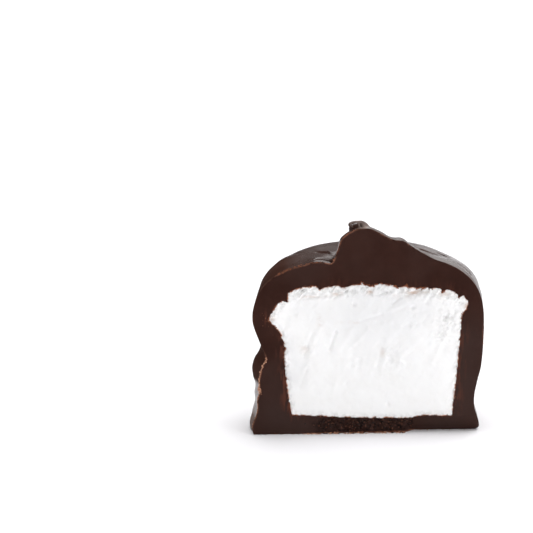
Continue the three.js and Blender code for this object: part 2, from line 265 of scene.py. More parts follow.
# Its outline is found along rays from FILLING_MIDDLE, each stretch halved this often.
OUTLINE_RAYS = 4000
OUTLINE_REACH = 22.0
OUTLINE_HALVINGS = 40
SMOOTH_REACH = 12  # behind the cut the outline is averaged over this many points each way
FILLING_GAP = 0.25  # behind the cut, between the marshmallow and its pocket
RING_DEPTHS = [*(np.linspace(0, 1, 8) ** 0.6 * 0.985), 0.999]  # of the rings behind the outline, as shares
SMOOTH_FROM = 0.08  # from this share of the depth on the outline is the averaged one
GAP_FROM = 0.02  # and from this share on the gap is a whole one
EDGE_SPACING = 0.1
FACE_SPACING = 0.135
CUT_SPACING = 0.2
JITTER = 0.18  # of the points inside a cut face, as a share of their spacing
CLEARANCE = 0.62  # between them and its outlines, as such a share
RIM_SPACING = 0.08
LEAN = 0.3  # how far the face stands out at its foot
BROW = 0.1  # and along its top
FRONT_LIMIT = 0.46
# Marks in the marshmallow's cut face, as x and z in the cut plane.
ROUGH_SPOTS = [(11.4, 16, 1.5, 1), (10.6, 13.8, 1.2, 0.6), (-8.4, 12.2, 1.2, 0.4), (3.5, 10.6, 1.6, 0.4)]
PITS = [
    (5.9, 15.4, 0.28, 0.3), (2.9, 3.9, 0.26, 0.3), (-2, 18.4, 0.3, 0.3), (6.2, 17.8, 0.26, 0.3),
    (12.3, 17.2, 0.24, 0.35), (-11.3, 20, 0.3, 0.2), (10.3, 13.2, 0.22, 0.2), (-10.5, 10.2, 1.2, 0.3),
    (0.8, 8.5, 0.25, 0.14), (8.2, 18.6, 0.22, 0.2), (3.4, 19.2, 1.3, 0.25),
]
# Furrows (depth less than 0) and ridges across it: ends, height and half width.
FOLDS = [
    ((-5.3, 12), (-4.5, 14.4), -0.36, 0.2), ((-8.9, 11), (-7.8, 14.3), -0.2, 0.3),
    ((-4.7, 19.5), (-2.9, 20.3), -0.3, 0.18), ((-10.9, 19.8), (-9.2, 20.45), -0.2, 0.16),
    ((-9.2, 20.45), (-7.4, 20.7), -0.2, 0.16), ((-9, 19.3), (-5.2, 19.8), -0.16, 0.2),
    ((1.4, 19.7), (3.2, 20.2), -0.2, 0.16), ((3.5, 18.4), (4.7, 19.4), -0.22, 0.2),
    ((5.4, 19.5), (7.2, 20.2), -0.26, 0.24), ((0, 20.3), (0.5, 19.8), -0.25, 0.18),
    ((10.7, 15.9), (11.3, 16.8), -0.35, 0.17), ((9.4, 11.3), (10.6, 14.2), -0.1, 0.24),
    ((1.3, 9.4), (2, 12), -0.1, 0.22), ((-9.6, 6.4), (-8.4, 9.4), -0.1, 0.24),
    ((-8.5, 9.8), (-6.8, 15), 0.17, 0.42), ((-4.3, 11.8), (-2.3, 14.7), 0.2, 0.55),
    ((-1.9, 12.5), (0.1, 14.9), 0.14, 0.35), ((4.1, 10.6), (7, 13.1), 0.17, 0.5),
    ((9, 9.8), (10.4, 13.3), 0.17, 0.4), ((2.9, 17.4), (5.4, 18.6), 0.14, 0.3),
    ((1.9, 8.9), (2.5, 10.6), 0.12, 0.3), ((-5.1, 5), (-4.3, 7.9), 0.08, 0.4),
    ((-1.6, 15.9), (2, 16.9), -0.1, 0.24),
]
# Painted shade: parts of it made a little greyer, as where the face turns from the light and towards its top:
# [x, z, radius, strength].
FOAM_PAINTED_SHADE = [
    (-10.8, 8.5, 2.2, 1), (-11.4, 12.5, 1.8, 0.6), (-2, 17, 3.6, 0.7), (4.5, 17.5, 4, 0.9),
    (9, 18, 2.5, 0.4), (1, 12, 6, 0.4), (-8.5, 18, 3, 0.5), (0, 20.8, 4, 0.6),
]
# Chocolate smeared over it: [x, z, half width, half height, strength].
STAINS = [
    (-7.6, 19.6, 1.7, 0.22, 0.5), (-4, 19.9, 0.9, 0.3, 0.8), (0.2, 20.1, 0.4, 0.3, 1),
    (6.2, 19.9, 0.9, 0.5, 0.9), (8, 20.2, 0.8, 0.3, 0.6), (-13.6, 16.4, 0.5, 0.3, 1),
    (13.8, 17.9, 0.3, 0.5, 0.9), (-6.7, 16.2, 0.4, 0.9, 0.3), (-2.2, 15.9, 1.6, 0.25, 0.3),
    (10.6, 19.8, 0.6, 0.3, 0.7), (-8.9, 12.2, 0.5, 0.7, 0.3), (2.1, 11.4, 0.35, 0.6, 0.3),
    (3.4, 19.4, 1.1, 0.4, 0.3),
]
FIBRE_TURN = math.radians(52)
SHARP_ANGLE = math.radians(55)
FAR = 9.0  # a distance too long to matter
LATTICE = 48  # cells after which noise repeats
BATCH = 200  # points compared at a time
SHORTEST_EDGE = 0.002 * MM  # what is shorter is closed up
RIM_MERGE = 0.05  # points of the rim that are closer are joined

# ---- Small helpers ----


def through(points, at):
    """Smooth curve through control points (at, value), with the end values held outside them."""
    places, values = np.array(points, float).T
    at = np.clip(at, places[0], places[-1])
    i = np.clip(np.searchsorted(places, at, side="right") - 1, 0, len(places) - 2)
    row = np.arange(len(places))
    before, after = np.maximum(row - 1, 0), np.minimum(row + 1, row[-1])
    slope = (values[after] - values[before]) / (places[after] - places[before])
    span = places[i + 1] - places[i]
    t = (at - places[i]) / span
    rise = 3 * t**2 - 2 * t**3
    return (
        values[i] * (1 - rise) + values[i + 1] * rise
        + slope[i] * span * (t**3 - 2 * t**2 + t) + slope[i + 1] * span * (t**3 - t**2)
    )


def round_max(a, b, blend):
    overlap = np.maximum(blend - np.abs(a - b), 0) / blend
    return np.maximum(a, b) + overlap**2 * blend / 4


def round_min(a, b, blend):
    return -round_max(-a, -b, blend)


def bell(distance, radius):
    return np.exp(-((distance / radius) ** 2))


def ramp(value, low, high):
    """0 below low, 1 above high, smooth between."""
    t = np.clip((value - low) / (high - low), 0, 1)
    return t * t * (3 - 2 * t)


def noise(seed, size, *coordinates):
    """Smooth random field from about -1 to 1, with features of the given size."""
    lattice = np.random.default_rng(seed).uniform(-1, 1, (LATTICE,) * len(coordinates))
    scaled = [coordinate / size for coordinate in coordinates]
    cells = [np.floor(value).astype(int) for value in scaled]
    steps = [ramp(value - cell, 0, 1) for value, cell in zip(scaled, cells)]
    total = 0
    for corner in itertools.product((0, 1), repeat=len(coordinates)):
        weight = math.prod(step if side else 1 - step for side, step in zip(corner, steps))
        total = total + weight * lattice[tuple((cell + side) % LATTICE for cell, side in zip(cells, corner))]
    return total


def layered(seed, size, *coordinates):
    """Noise with two finer octaves."""
    return sum(noise(seed + k, size / 2.1**k, *coordinates) * 0.55**k for k in range(3)) / 1.6


def outline_radius(across, y, half_width, depth, corner):
    distance = np.maximum(np.hypot(across, y), 1e-6)
    size = (np.abs(across) / distance / half_width) ** corner + (y / distance / depth) ** corner
    return size ** (-1 / corner)


def spots(rows, x, z):
    """Sum of round spots, each a row of x, z, radius and height."""
    return sum(height * bell(np.hypot(x - at_x, z - at_z), radius) for at_x, at_z, radius, height in rows)


def zones(rows, x, z):
    return np.minimum(spots(rows, x, z), 1)


def nearest(wanted, point):
    """For each wanted point, the distance to the nearest of point and that one's row."""
    distances, rows = [], []
    for part in np.array_split(wanted, len(wanted) // BATCH + 1):
        apart = np.linalg.norm(part[:, None] - point[None], axis=2)
        distances.append(apart.min(1))
        rows.append(apart.argmin(1))
    return np.concatenate(distances), np.concatenate(rows)


def to_segment(point, start, end):
    """Distance from points to a segment, and how far along it the nearest point lies."""
    axis = np.subtract(end, start)
    offset = point - start
    along = np.clip(offset @ axis / (axis @ axis), 0, 1)
    return np.linalg.norm(offset - along[:, None] * axis, axis=1), along


def ridges(rows, x, z, fade=0):
    """Sum of ridges, each a row of its two ends, height and half width."""
    point = np.stack([x, z], 1)
    total = 0
    for start, end, height, width in rows:
        distance, along = to_segment(point, start, end)
        total = total + height * bell(distance, width) * (1 - fade * along)
    return total


# ---- Coating's skin ----


def dome_height(x, y):
    sag = DOME_SAG * x**2 + DOME_BACK_SAG * (y - DOME_CREST_Y) ** 2
    return DOME_HEIGHT + DOME_TILT * x - sag + spots(DOME_SWELLS, x, y)


def heap_height(x, y):
    behind = np.maximum(y - HEAP_FLAT, 0) / (HEAP_DEPTH - HEAP_FLAT)
    share = np.maximum(1 - behind**HEAP_FALL, 1e-4)
    return through(HEAP_PROFILE, x / np.sqrt(share)) * share + spots(HEAP_SWELLS, x, y)


def crease_share(x, y):
    """1 in the dome's deeper creases, 0 beside them."""
    point = np.stack([x, y], 1)
    return np.max([bell(to_segment(point, start, end)[0], width) for start, end, width in DULL_CREASES], 0)


def body_value(x, y, z):
    """How far points lie outside the plain body's wall and above its top, and the place along the wall."""
    y = np.maximum(y, 0)
    across = x - CUT_SKEW * y
    left = through(LEFT_WALL, z) + through(LEFT_FILL, z) * (1 - bell(y, LEFT_FILL_DEPTH))
    share = np.where(across < 0, left, through(RIGHT_WALL, z))
    corner = np.where(across < 0, LEFT_CORNER, RIGHT_CORNER)
    radius = outline_radius(across, y, share * HALF_WIDTH, through(BACK_WALL, z) * DEPTH, corner)
    wall = np.hypot(across, y) - radius
    return wall, z - dome_height(x, y) - heap_height(x, y), np.arctan2(y, across) / math.pi


def wall_detail(place, y, z):
    """How far the wall stands out from the plain body."""
    rise = z - through(CREASE_HEIGHT, place)
    reach = np.where(rise > 0, CREASE_ABOVE, CREASE_BELOW)
    fold = -through(CREASE_DEPTH, place) * np.exp(-np.abs(rise) / reach)
    runs = 0
    for middle, width, height, low in RUNS:
        end = ramp(z, low - 0.6, low + 1.2) * (1 - ramp(z, RUN_TOP - 5, RUN_TOP))
        runs = runs + height * bell(place - middle, width) * end * ramp(y, 0, 2)
    foot = FOOT_WAVE * noise(7, 0.055, place) * bell(z, FOOT_HEIGHT) * ramp(y, 0, 1.5)
    hollow = HOLLOW * bell(z - HOLLOW_HEIGHT, HOLLOW_HEIGHT) * ramp(y, 0, 1.2)
    return fold + runs + foot * ramp(place, 0.08, 0.3) - hollow * (1 - ramp(place, 0.12, 0.25))


def string_points():
    """Every piped string as points (x, y, z, radius) along a smooth curve."""
    x, y = np.array(TAIL).T
    z = dome_height(x, y) + heap_height(x, y) + TAIL_RADIUS - TAIL_SINK
    tail = np.stack([x, y, z, np.full(len(x), TAIL_RADIUS)], 1)
    middle = tail[-1, :2] + (CURL_SHIFT, -CURL_RADIUS)
    curl = []
    for turn in np.linspace(0, CURL_TURN, CURL_STEPS):
        x, y = middle + CURL_RADIUS * np.array([math.sin(turn), math.cos(turn)])
        z = dome_height(x, y) + heap_height(x, y) + CURL_THICKNESS + CURL_RISE * turn
        curl.append((x, y, z, CURL_THICKNESS))
    strings = [LOOP, STEM, WEB, PLEAT, np.concatenate([tail[:-1], curl])]
    return [smooth_string(np.array(string)) for string in strings]


def smooth_string(points):
    at = np.arange(len(points))
    fine = np.linspace(0, len(points) - 1, (len(points) - 1) * STRING_STEPS + 1)
    return np.stack([through(np.stack([at, column], 1), fine) for column in points.T], 1)


STRINGS = string_points()
STRING_REACH = 1.2


def in_reach(point, string):
    """Whether points lie in the box round a string."""
    low = string[:, :3].min(0) - STRING_REACH
    high = string[:, :3].max(0) + STRING_REACH
    return ((point > low) & (point < high)).all(1)


def string_value(point):
    """Distance from points to the nearest string's surface."""
    least = np.full(len(point), FAR)
    for string in STRINGS:
        close = np.flatnonzero(in_reach(point, string))
        for start, end in zip(string[:-1], string[1:]):
            distance, along = to_segment(point[close], start[:3], end[:3])
            distance -= start[3] + along * (end[3] - start[3])
            least[close] = np.minimum(least[close], distance)
    return least


def coating_value(point):
    """Negative inside the coating's outer surface, with all its detail."""
    x, y, z = point.T
    wall, top, place = body_value(x, y, z)
    y = np.maximum(y, 0)
    ripple = RIPPLE * noise(3, RIPPLE_SIZE, x, y, z * 0.7) * ramp(y, 0, 2)
    marks = SINK_MARKS * noise(4, SINK_SIZE, x, y, z) * ramp(y, 0, 1)
    top = top - ridges(RIDGES, x, y, RIDGE_FADE)
    value = round_max(wall - wall_detail(place, y, z), top, SHOULDER_BLEND)
    value = round_min(value - ripple - marks, string_value(point), STRING_BLEND)
    underside = FLOOR + 0.04 * noise(11, 0.5, x, y) * (1 - ramp(y, 0.5, 4))
    return round_max(value, underside - z, 0.2)


def grid_axis(spans):
    parts = [np.linspace(low, high, round((high - low) / step) + 1) for low, high, step in spans]
    return np.unique(np.concatenate(parts))


def grid_values(axes):
    """coating_value at the grid's nodes near the surface, and a plain estimate elsewhere."""
    point = np.stack(np.meshgrid(*axes, indexing="ij"), -1).reshape(-1, 3)
    wall, top, _ = body_value(*point.T)
    value = np.maximum(round_max(wall, top, SHOULDER_BLEND), FLOOR - point[:, 2])
    close = (np.abs(value) < NEAR_SURFACE) | in_reach(point, np.concatenate(STRINGS))
    value[close] = coating_value(point[close])
    return value.reshape([len(axis) for axis in axes])


def surface_net(axes, value):
    """Points and quads of the zero surface: a point in each crossed cell, a quad over each crossed edge."""
    inside = value < 0
    shape = np.array(value.shape)
    full = np.zeros(shape - 1, int)
    for corner in itertools.product((0, 1), repeat=3):
        full += inside[tuple(slice(side, size - 1 + side) for side, size in zip(corner, shape))]
    crossed = (full > 0) & (full < 8)
    index = np.full(full.shape, -1)
    index[crossed] = np.arange(crossed.sum())
    cells = np.argwhere(crossed)
    total = np.zeros((len(cells), 3))
    count = np.zeros(len(cells))
    quads = []
    step = np.eye(3, dtype=int)
    for axis in range(3):
        u, v = (axis + 1) % 3, (axis + 2) % 3
        for du, dv in itertools.product((0, 1), repeat=2):
            start = cells + du * step[u] + dv * step[v]
            end = start + step[axis]
            first, last = value[tuple(start.T)], value[tuple(end.T)]
            cuts = (first < 0) != (last < 0)
            t = first[cuts] / (first[cuts] - last[cuts])
            for k in range(3):
                total[cuts, k] += axes[k][start[cuts, k]] * (1 - t) + axes[k][end[cuts, k]] * t
            count[cuts] += 1
        edges = np.argwhere(np.diff(inside, axis=axis))
        edges = edges[np.all([(edges[:, k] > 0) & (edges[:, k] < shape[k] - 1) for k in (u, v)], axis=0)]
        around = [edges - du * step[u] - dv * step[v] for du, dv in ((1, 1), (0, 1), (0, 0), (1, 0))]
        quad = np.stack([index[tuple(cell.T)] for cell in around], 1)
        inwards = ~inside[tuple(edges.T)]
        quad[inwards] = quad[inwards][:, ::-1]
        quads.append(quad)
    return total / count[:, None], np.concatenate(quads)


def settle(point):
    """Moves points onto the coating's surface."""
    steps = np.eye(3) * SLOPE_REACH
    for _ in range(SKIN_STEPS):
        rises = [coating_value(point + step) - coating_value(point - step) for step in steps]
        slope = np.stack(rises, 1) / (2 * SLOPE_REACH)
        size = np.maximum((slope**2).sum(1), LEAST_SLOPE)
        move = -slope * (coating_value(point) / size)[:, None]
        length = np.maximum(np.linalg.norm(move, axis=1), 1e-9)
        point = point + move * np.minimum(1, LONGEST_MOVE / length)[:, None]
    return point


def make_skin():
    """The coating's whole outer surface, which reaches a little past the cut, as points and quads."""
    axes = [grid_axis(spans) for spans in (GRID_X, GRID_Y, GRID_Z)]
    point, quads = surface_net(axes, grid_values(axes))
    return settle(point), quads


# ---- Cut face ----


def fray(seed, x, z):
    """Torn edge: sharp tips that point outwards, in three sizes."""
    return sum(
        (1 - 3 * np.abs(noise(seed + k, FRAY_SIZE / 2**k, x + 0.3 * z, z))) * FRAY_FALL**k for k in range(3)
    )


def stepped(steps, x):
    """Sum of sharp steps that run out over their widths."""
    total = 0
    for place_x, depth, width in steps:
        past = (x - place_x) / width
        total = total + depth * ramp(past, 0, 0.05) * np.clip(1 - past, 0, 1)
    return total


def filling_value(x, z):
    """Negative inside the marshmallow's outline in the cut plane."""
    half_width = np.where(x < 0, through(FILLING_LEFT, z), through(FILLING_RIGHT, z))
    side = np.abs(x) - half_width - FRAY_SIDE * fray(21, x, z)
    roof = z - through(FILLING_TOP, x) + stepped(TOP_STEPS, x) - FRAY_TOP * fray(24, x, z)
    floor = through(FILLING_BASE, x) - z - FRAY_SIDE * fray(27, x, z)
    return np.maximum(np.maximum(side, roof), floor) - spots(TEARS, x, z)


def filling_outline():
    """Closed outline of the marshmallow in the cut plane, counterclockwise as seen from the front."""
    turn = np.linspace(0, 2 * math.pi, OUTLINE_RAYS, endpoint=False)
    ray = np.stack([np.cos(turn), np.sin(turn)], 1)
    near, far = np.zeros(len(ray)), np.full(len(ray), OUTLINE_REACH)
    for _ in range(OUTLINE_HALVINGS):
        middle = (near + far) / 2
        inside = filling_value(*(FILLING_MIDDLE + ray * middle[:, None]).T) < 0
        near = np.where(inside, middle, near)
        far = np.where(inside, far, middle)
    return respaced(FILLING_MIDDLE + ray * near[:, None], EDGE_SPACING)


def lengths(path):
    """How far along a path each of its points lies."""
    return np.append(0, np.cumsum(np.linalg.norm(np.diff(path, axis=0), axis=1)))


def along_path(path, at):
    """Points at the given lengths along a path."""
    return np.stack([np.interp(at, lengths(path), column) for column in path.T], 1)


def closed(outline):
    return np.concatenate([outline, outline[:1]])


def respaced(outline, spacing):
    """The same closed outline with evenly spaced points."""
    length = lengths(closed(outline))[-1]
    return along_path(closed(outline), np.linspace(0, length, round(length / spacing), endpoint=False))


def within(point, outline):
    """Whether points lie inside a closed outline."""
    (x1, z1), (x2, z2) = outline.T, np.roll(outline, -1, 0).T
    height = np.where(z2 == z1, 1, z2 - z1)
    result = []
    for part in np.array_split(point, len(point) // BATCH + 1):
        x, z = part[:, :1], part[:, 1:]
        crossed = ((z1 <= z) != (z2 <= z)) & (x < x1 + (z - z1) * (x2 - x1) / height)
        result.append(crossed.sum(1) % 2 == 1)
    return np.concatenate(result)


def filled(outlines, spacing, seed, keep):
    """Triangles between outlines, with jittered inner points where keep allows."""
    edge = np.concatenate(outlines)
    low, high = edge.min(0), edge.max(0)
    rows = np.arange(low[1], high[1], spacing * math.sqrt(3) / 2)
    lattice = []
    for number, row in enumerate(rows):
        columns = np.arange(low[0] + (number % 2) * spacing / 2, high[0], spacing)
        lattice.append(np.stack([columns, np.full(len(columns), row)], 1))
    inner = np.concatenate(lattice)
    inner += np.random.default_rng(seed).uniform(-JITTER, JITTER, inner.shape) * spacing
    inner = inner[keep(inner)]
    inner = inner[nearest(inner, edge)[0] > spacing * CLEARANCE]
    point = np.concatenate([edge, inner])
    edges = []
    for outline in outlines:
        first, count = len(edges), len(outline)
        edges += [(first + i, first + (i + 1) % count) for i in range(count)]
    found = delaunay_2d_cdt([Vector(p) for p in point.tolist()], edges, [], 0, 1e-7)
    point = np.array([tuple(p) for p in found[0]])
    faces = np.array(found[2])
    middle = point[faces].mean(1)
    return point, turned(point, faces[keep(middle)])


def turned(point, faces):
    """Faces turned to look along -y."""
    a, b, c = (point[faces[:, k]] for k in range(3))
    turn = (b - a)[:, 0] * (c - a)[:, 1] - (b - a)[:, 1] * (c - a)[:, 0]
    return np.where((turn < 0)[:, None], faces[:, ::-1], faces)


def rough_strip(x, z):
    """1 in the crumbly strip of the base, which starts gradually at the left and ends sharply."""
    ends = ramp(x, ROUGH_STRIP[0], ROUGH_STRIP[0] + 3) * (1 - ramp(x, ROUGH_STRIP[1] - 0.15, ROUGH_STRIP[1]))
    return ends * (1 - ramp(z, ROUGH_TOP - 0.3, ROUGH_TOP + 0.2))


def cut_relief(x, z, rim, core):
    """How far the chocolate's cut face lies behind the cut plane, from the distances to its two edges."""
    pits = (0.1 + ramp(layered(31, 0.45, x, z), -0.2, 0.5) * 0.28) * rough_strip(x, z)
    drag = 0.025 * noise(32, 2.6, x + 0.4 * z, z) + 0.008 * noise(33, 0.6, x, z)
    bevel = 0.04 * bell(rim, 0.1) + 0.03 * bell(core, 0.12)
    chips = 0.16 * ramp(noise(34, 0.7, x, z), 0.35, 0.75) * bell(rim, 0.22)
    return pits + drag + bevel + chips


def torn_share(x, z, edge):
    """1 where the marshmallow's face is torn, along its outline and under its top, 0 where it is smooth."""
    roof = through(FILLING_TOP, x) - z
    torn = np.maximum(bell(edge, 0.5), 1 - ramp(roof, 0.8, 2.4))
    return np.maximum(torn, zones(ROUGH_SPOTS, x, z))


def core_relief(x, z, edge):
    """How far the marshmallow's face stands before the cut plane. edge is the distance to its outline."""
    along = x * math.cos(FIBRE_TURN) + z * math.sin(FIBRE_TURN)
    over = z * math.cos(FIBRE_TURN) - x * math.sin(FIBRE_TURN)
    swell = LEAN * (1 - ramp(z, 2, 12)) + BROW * ramp(z, 17.8, 20.6) + 0.1 * noise(41, 4.5, x, z)
    folds = 0.13 * noise(42, 1, along / 1.8, over / 1.2) + 0.08 * noise(43, 1, along / 0.9, over / 0.6)
    folds = folds * (0.35 + 0.65 * ramp(noise(48, 3.4, x, z), -0.35, 0.25)) * (0.4 + 0.6 * ramp(z, 3, 10))
    torn = torn_share(x, z, edge)
    fluff = (0.012 + 0.15 * torn) * (1 - 2.6 * np.abs(noise(44, 0.75, along, over / 0.6)))
    fluff = fluff + (0.01 + 0.06 * torn) * noise(45, 0.28, x, z)
    total = swell * ramp(edge, 0, 1) + (folds + fluff) * ramp(edge, 0, 0.2)
    total = total - spots(PITS, x, z) + ridges(FOLDS, x, z)
    return np.where(total > 0, FRONT_LIMIT * np.tanh(total / FRONT_LIMIT), total)


def set_back(point):
    """The points with those near the lower right edge of the cut face moved back."""
    x, y, z = point.T
    share = np.clip(1 - (z - FLOOR) / SET_BACK_TOP, 0, 1) * np.clip(1 - y / SET_BACK_REACH, 0, 1)
    return point + np.outer(SET_BACK * ramp(x, *SET_BACK_START) * share, (0, 1, 0))


def curved_back(outline, gap):
    """Rings of points going back from the cut outline, rounded off towards FILLING_DEPTH."""
    turns = range(-SMOOTH_REACH, SMOOTH_REACH + 1)
    smooth = sum(np.roll(outline, k, 0) for k in turns) / len(turns)
    result = []
    for share in RING_DEPTHS:
        y = (FILLING_DEPTH - gap) * share
        taken = min(share / SMOOTH_FROM, 1)
        flat = outline * (1 - taken) + smooth * taken
        narrow = (1 - share**FILLING_CORNER) ** (1 / FILLING_CORNER)
        inset = 1 - gap / FILLING_HALF_WIDTH * min(share / GAP_FROM, 1)
        x = FILLING_MIDDLE[0] + (flat[:, 0] - FILLING_MIDDLE[0]) * narrow * inset + CUT_SKEW * y
        z = FILLING_MIDDLE[1] + (flat[:, 1] - FILLING_MIDDLE[1]) * inset
        result.append(np.stack([x, np.full(len(x), y), z], 1))
    return result


def ring_faces(count, rings):
    """Quads between successive rings of count points."""
    a = np.arange(count * (rings - 1))
    b = a - a % count + (a + 1) % count
    return np.stack([a, b, b + count, a + count], 1)


def place(point):
    """From millimetres in the cut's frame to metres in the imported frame."""
    low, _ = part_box("chocolate_coating")
    return (np.asarray(point) + (FACE_MIDDLE, low.y / MM, -FLOOR)) * MM


def add_object(name, data):
    made = bpy.data.objects.new(name, data)
    bpy.context.scene.collection.objects.link(made)
    return made


def new_object(name, point, faces, materials, **attributes):
    """A mesh object, with a value at each point for each named attribute."""
    mesh = bpy.data.meshes.new(name)
    mesh.from_pydata(point.tolist(), [], faces)
    for material in materials:
        mesh.materials.append(material)
    for attribute, values in attributes.items():
        layer = mesh.attributes.new(attribute, "FLOAT", "POINT")
        layer.data.foreach_set("value", np.asarray(values, np.float32))
    return add_object(name, mesh)


def taken_from(shape):
    """A bmesh's points and faces, after which it is freed."""
    points = np.array([vert.co for vert in shape.verts])
    faces = [[vert.index for vert in face.verts] for face in shape.faces]
    shape.free()
    return points, faces


def cut_skin(point, quads):
    """The skin trimmed at the cut plane, as points and faces, and its outline there as indices."""
    mesh = bpy.data.meshes.new("skin")
    mesh.from_pydata(point.tolist(), [], quads.tolist())
    shape = bmesh.new()
    shape.from_mesh(mesh)
    bmesh.ops.bisect_plane(
        shape, geom=shape.verts[:] + shape.edges[:] + shape.faces[:],
        plane_co=(0, 0, 0), plane_no=(0, -1, 0), clear_outer=True, dist=1e-5,
    )
    border = [vert for vert in shape.verts if vert.is_boundary]
    bmesh.ops.remove_doubles(shape, verts=border, dist=RIM_MERGE)
    shape.verts.index_update()
    beside = {vert: [] for vert in shape.verts if vert.is_boundary}
    for edge in shape.edges:
        if edge.is_boundary:
            for vert in edge.verts:
                beside[vert].append(edge.other_vert(vert))
    for vert in beside:
        vert.co.y = 0
    start = min(beside, key=lambda vert: vert.index)
    loop = [start, beside[start][0]]
    while loop[-1] is not start:
        loop.append(next(vert for vert in beside[loop[-1]] if vert is not loop[-2]))
    loop = [vert.index for vert in loop[:-1]]
    bpy.data.meshes.remove(mesh)
    return *taken_from(shape), loop


def add_part(point, added, shared, faces):
    """All points and the added faces. shared gives the rows of added that are in point already, or -1."""
    rows = shared.copy()
    fresh = rows < 0
    rows[fresh] = len(point) + np.arange(fresh.sum())
    return np.concatenate([point, added[fresh]]), [rows[face].tolist() for face in faces]


def curved_wall(flat, relief, outline, gap):
    """The wall behind the marshmallow's outline: points, their rows in flat or -1, and faces."""
    rings = curved_back(outline, gap)
    _, shared_rows = nearest(outline, flat)
    rings[0][:, 1] = relief[shared_rows]
    depth = FILLING_DEPTH - gap
    back = [[FILLING_MIDDLE[0] + CUT_SKEW * depth, depth, FILLING_MIDDLE[1]]]
    point = np.concatenate(rings + [back])
    count = len(outline)
    last = (len(rings) - 1) * count
    cap = [[last + i, last + (i + 1) % count, len(point) - 1] for i in range(count)]
    shared = np.full(len(point), -1)
    shared[:count] = shared_rows
    return point, shared, [*ring_faces(count, len(rings)), *cap]


def padded(values, count):
    """The values of the first points, and FAR for the rest of count points."""
    return np.append(values, np.full(count - len(values), FAR))


def make_coating(outline, materials):
    skin, skin_faces, loop = cut_skin(*make_skin())
    rim = skin[loop][:, [0, 2]]
    flat, flat_faces = filled(
        [rim, outline], CUT_SPACING, 51, lambda point: within(point, rim) & ~within(point, outline)
    )
    rim_distance, _ = nearest(flat, respaced(rim, RIM_SPACING))
    core_distance, _ = nearest(flat, outline)
    relief = cut_relief(flat[:, 0], flat[:, 1], rim_distance, core_distance)
    point = np.stack([flat[:, 0], relief, flat[:, 1]], 1)
    shared = np.full(len(skin), -1)
    shared[loop] = nearest(rim, flat)[1]
    point, skin_faces = add_part(point, skin, shared, skin_faces)
    skin_end = len(point)
    point, wall_faces = add_part(point, *curved_wall(flat, relief, outline, 0))
    cut_faces = flat_faces.tolist() + wall_faces
    x, y, z = point.T
    # Painted highlight on the loop's band and painted reflection on the left foot.
    loop_highlight = zones(LOOP_PAINTED_HIGHLIGHT, x, z) * (1 - ramp(y, *LOOP_HIGHLIGHT_END))
    foot_reflection = zones(FOOT_PAINTED_REFLECTION, x, z) * (1 - ramp(y, *FOOT_REFLECTION_END))
    rim_distance = np.append(rim_distance, np.maximum(y[len(flat):skin_end], 0))
    piece = new_object(
        "coating", place(set_back(point)), skin_faces + cut_faces, materials,
        rim_mm=padded(rim_distance, len(point)), core_mm=padded(core_distance, len(point)),
        # Lighter, greyer brown on the cut face: partly its own tone, partly painted light.
        dust=zones(RIM_DUST, x, z), smear=zones(SMEARS, x, z), grey=zones(CUT_GREY_TONE_AND_PAINTED_LIGHT, x, z),
        strip=rough_strip(x, z), pale=loop_highlight + foot_reflection,
        matte=np.maximum(zones(MATTE_SKIN, x, z), crease_share(x, y)),
    )
    piece.data.polygons.foreach_set("material_index", np.repeat([0, 1], [len(skin_faces), len(cut_faces)]))
    finish_mesh(piece.data)
    return piece, rim


def finish_mesh(mesh):
    """No edges without length, outward normals, and smooth shading with a crisp edge round the cut."""
    shape = bmesh.new()
    shape.from_mesh(mesh)
    bmesh.ops.dissolve_degenerate(shape, dist=SHORTEST_EDGE, edges=shape.edges[:])
    bmesh.ops.recalc_face_normals(shape, faces=shape.faces[:])
    shape.to_mesh(mesh)
    shape.free()
    mesh.shade_smooth()
    mesh.set_sharp_from_angle(angle=SHARP_ANGLE)


def make_filling(outline, materials):
    flat, faces = filled([outline], FACE_SPACING, 52, lambda point: within(point, outline))
    edge, _ = nearest(flat, outline)
    relief = -core_relief(flat[:, 0], flat[:, 1], edge)
    point = np.stack([flat[:, 0], relief, flat[:, 1]], 1)
    point, wall_faces = add_part(point, *curved_wall(flat, relief, outline, FILLING_GAP))
    edge_mm = padded(edge, len(point))
    x, _, z = point.T
    stain = sum(
        strength * bell(np.hypot((x - at_x) / half_width, (z - at_z) / half_height), 1)
        for at_x, at_z, half_width, half_height, strength in STAINS
    )
    piece = new_object(
        "filling", place(point), faces.tolist() + wall_faces, materials,
        # torn also carries painted shade for the hollows of the torn band.
        edge_mm=edge_mm, stain=np.minimum(stain, 1), torn=torn_share(x, z, edge_mm),
        # Painted shade: greyer parts of the face.
        grey=zones(FOAM_PAINTED_SHADE, x, z),
    )
    finish_mesh(piece.data)
    return piece


# ---- Crumbs ----

